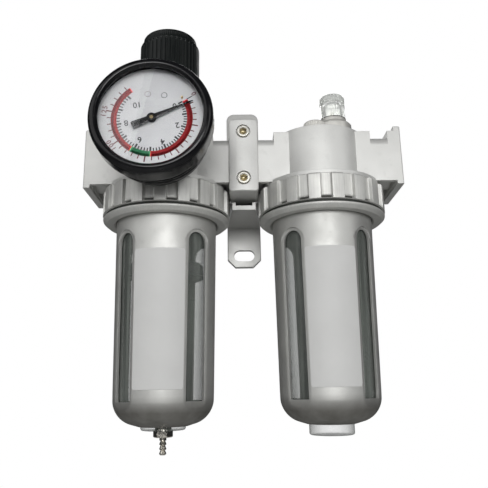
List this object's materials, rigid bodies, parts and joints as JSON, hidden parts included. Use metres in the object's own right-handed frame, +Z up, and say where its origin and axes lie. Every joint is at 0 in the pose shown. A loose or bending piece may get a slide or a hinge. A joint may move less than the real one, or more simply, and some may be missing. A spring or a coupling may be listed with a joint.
{
  "type": "filter regulator lubricator",
  "caption": "Compressed-air filter regulator with pressure gauge, clamped port to port with a sight-dome lubricator, bowls in windowed metal guards, on a slotted wall bracket.",
  "frame": {"origin": "centre of the bracket's back face, which lies on the wall, level with the port axis", "axes": "+Z up along the units' axes, -Y out of the wall towards the user, +X along the air flow from the filter regulator to the lubricator"},
  "size_m": [0.166, 0.0981, 0.2267],
  "materials": {
    "cast_alloy": "silver-grey paint on die-cast zinc alloy, satin",
    "ring_alloy": "die-cast aluminium, silver lacquer",
    "guard_metal": "silver-grey paint on drawn steel, satin",
    "bracket_metal": "silver-grey paint, satin",
    "clear_plastic": "clear polycarbonate",
    "label_film": "blank grey film, satin",
    "black_plastic": "black moulded plastic, fine grain",
    "black_gloss": "black enamel, glossy",
    "dial_white": "white lacquered dial",
    "brass": "machined brass",
    "nickel": "nickel-plated brass",
    "cream_plastic": "natural nylon",
    "steel": "zinc-plated steel",
    "seal_rubber": "nitrile rubber",
    "dark_plastic": "dark acetal",
    "porous_filter": "sintered porous filter medium"
  },
  "bodies": {
    "root": {"filter_body": "cast_alloy", "lubricator_body": "cast_alloy", "joint_seal": "seal_rubber", "valve_guide": "dark_plastic", "swirl_vane_ring": "dark_plastic", "filter_element": "porous_filter", "baffle": "dark_plastic", "diaphragm": "seal_rubber", "valve_spring": "steel", "bonnet": "black_plastic", "range_spring": "steel", "rear_port_plug": "nickel", "gauge_stem": "brass", "gauge_case": "black_gloss", "gauge_bezel": "black_gloss", "gauge_lens": "clear_plastic", "gauge_dial": "dial_white", "movement_front_plate": "brass", "movement_back_plate": "brass", "movement_posts": "brass", "bourdon_tube": "brass", "dome_base": "cream_plastic", "dome_seal": "seal_rubber", "drip_nozzle": "cream_plastic", "siphon_tube": "cream_plastic", "siphon_strainer": "porous_filter", "flow_flap": "dark_plastic", "front_clamp": "cast_alloy", "clamp_screws": "nickel", "wall_bracket": "bracket_metal"},
    "adjusting_screw": {"adjusting_screw": "steel", "screw_clip": "steel"},
    "knob": {"knob": "black_plastic"},
    "spring_seat": {"spring_seat": "steel"},
    "valve": {"diaphragm_plate": "ring_alloy", "valve_stem": "brass", "valve_poppet": "seal_rubber"},
    "pointer": {"gauge_pointer": "black_gloss", "pointer_arbor": "brass"},
    "sector": {"sector_gear": "brass"},
    "filter_bowl": {"filter_bowl": "clear_plastic", "filter_bowl_seal": "seal_rubber", "filter_bowl_guard": "guard_metal", "filter_label": "label_film", "drain_body": "nickel", "drain_nut": "nickel", "drain_cap": "nickel", "drain_spring": "steel"},
    "filter_ring": {"filter_clamp_ring": "ring_alloy"},
    "drain_pin": {"drain_pin": "nickel", "drain_seal": "seal_rubber"},
    "lubricator_bowl": {"lubricator_bowl": "clear_plastic", "lubricator_bowl_seal": "seal_rubber", "lubricator_bowl_guard": "guard_metal", "lubricator_label": "label_film"},
    "lubricator_ring": {"lubricator_clamp_ring": "ring_alloy"},
    "feed_dome": {"sight_dome": "clear_plastic"},
    "fill_plug_seal": {"fill_plug_seal": "seal_rubber"},
    "fill_plug": {"fill_plug": "nickel"}
  },
  "joints": [
    {"name": "adjusting_screw_turn", "type": "hinge", "parent": "root", "child": "adjusting_screw", "pos_m": [-0.0415, -0.034, 0.05], "axis": [0, 0, 1], "range_deg": [-1800, 0]},
    {"name": "spring_seat_slide", "type": "slide", "parent": "root", "child": "spring_seat", "axis": [0, 0, 1], "range_m": [-0.0075, 0], "deforming": ["range_spring"]},
    {"name": "knob_pull", "type": "slide", "parent": "adjusting_screw", "child": "knob", "axis": [0, 0, 1], "range_m": [0, 0.004]},
    {"name": "regulating_valve", "type": "slide", "parent": "root", "child": "valve", "axis": [0, 0, 1], "range_m": [-0.0012, 0], "stiffness_N_per_m": 400, "springref_m": 0.003, "deforming": ["valve_spring"]},
    {"name": "gauge_pointer_turn", "type": "hinge", "parent": "root", "child": "pointer", "pos_m": [-0.0415, -0.034, 0.0015], "axis": [0, 1, 0], "range_deg": [0, 256]},
    {"name": "sector_gear_turn", "type": "hinge", "parent": "root", "child": "sector", "pos_m": [-0.05556, -0.034, 0.0015], "axis": [0, 1, 0], "range_deg": [-42.67, 0]},
    {"name": "filter_bowl_drop", "type": "slide", "parent": "root", "child": "filter_bowl", "axis": [0, 0, 1], "range_m": [-0.008, 0]},
    {"name": "filter_ring_turn", "type": "hinge", "parent": "filter_bowl", "child": "filter_ring", "pos_m": [-0.0415, -0.034, -0.025], "axis": [0, 0, 1], "range_deg": [-1440, 0]},
    {"name": "drain_push", "type": "slide", "parent": "filter_bowl", "child": "drain_pin", "axis": [0, 0, 1], "range_m": [0, 0.0025], "stiffness_N_per_m": 300, "springref_m": -0.002, "deforming": ["drain_spring"]},
    {"name": "lubricator_bowl_drop", "type": "slide", "parent": "root", "child": "lubricator_bowl", "axis": [0, 0, 1], "range_m": [-0.008, 0]},
    {"name": "lubricator_ring_turn", "type": "hinge", "parent": "lubricator_bowl", "child": "lubricator_ring", "pos_m": [0.0415, -0.034, -0.025], "axis": [0, 0, 1], "range_deg": [-1440, 0]},
    {"name": "feed_dome_turn", "type": "hinge", "parent": "root", "child": "feed_dome", "pos_m": [0.0515, -0.031, 0.035], "axis": [0, 0, 1], "range_deg": [0, 270]},
    {"name": "fill_plug_lift", "type": "slide", "parent": "root", "child": "fill_plug_seal", "axis": [0, 0, 1], "range_m": [0, 0.005]},
    {"name": "fill_plug_turn", "type": "hinge", "parent": "fill_plug_seal", "child": "fill_plug", "pos_m": [0.039, -0.044, 0.018], "axis": [0, 0, 1], "range_deg": [0, 1800]}
  ],
  "couplings": [
    {"joint": "adjusting_screw_turn", "follows": "spring_seat_slide", "rad_per_m": 4188.4},
    {"joint": "gauge_pointer_turn", "follows": "sector_gear_turn", "ratio": -5.9994},
    {"joint": "filter_ring_turn", "follows": "filter_bowl_drop", "rad_per_m": 3141.3},
    {"joint": "lubricator_ring_turn", "follows": "lubricator_bowl_drop", "rad_per_m": 3141.3},
    {"joint": "fill_plug_turn", "follows": "fill_plug_lift", "rad_per_m": 6282.6}
  ]
}
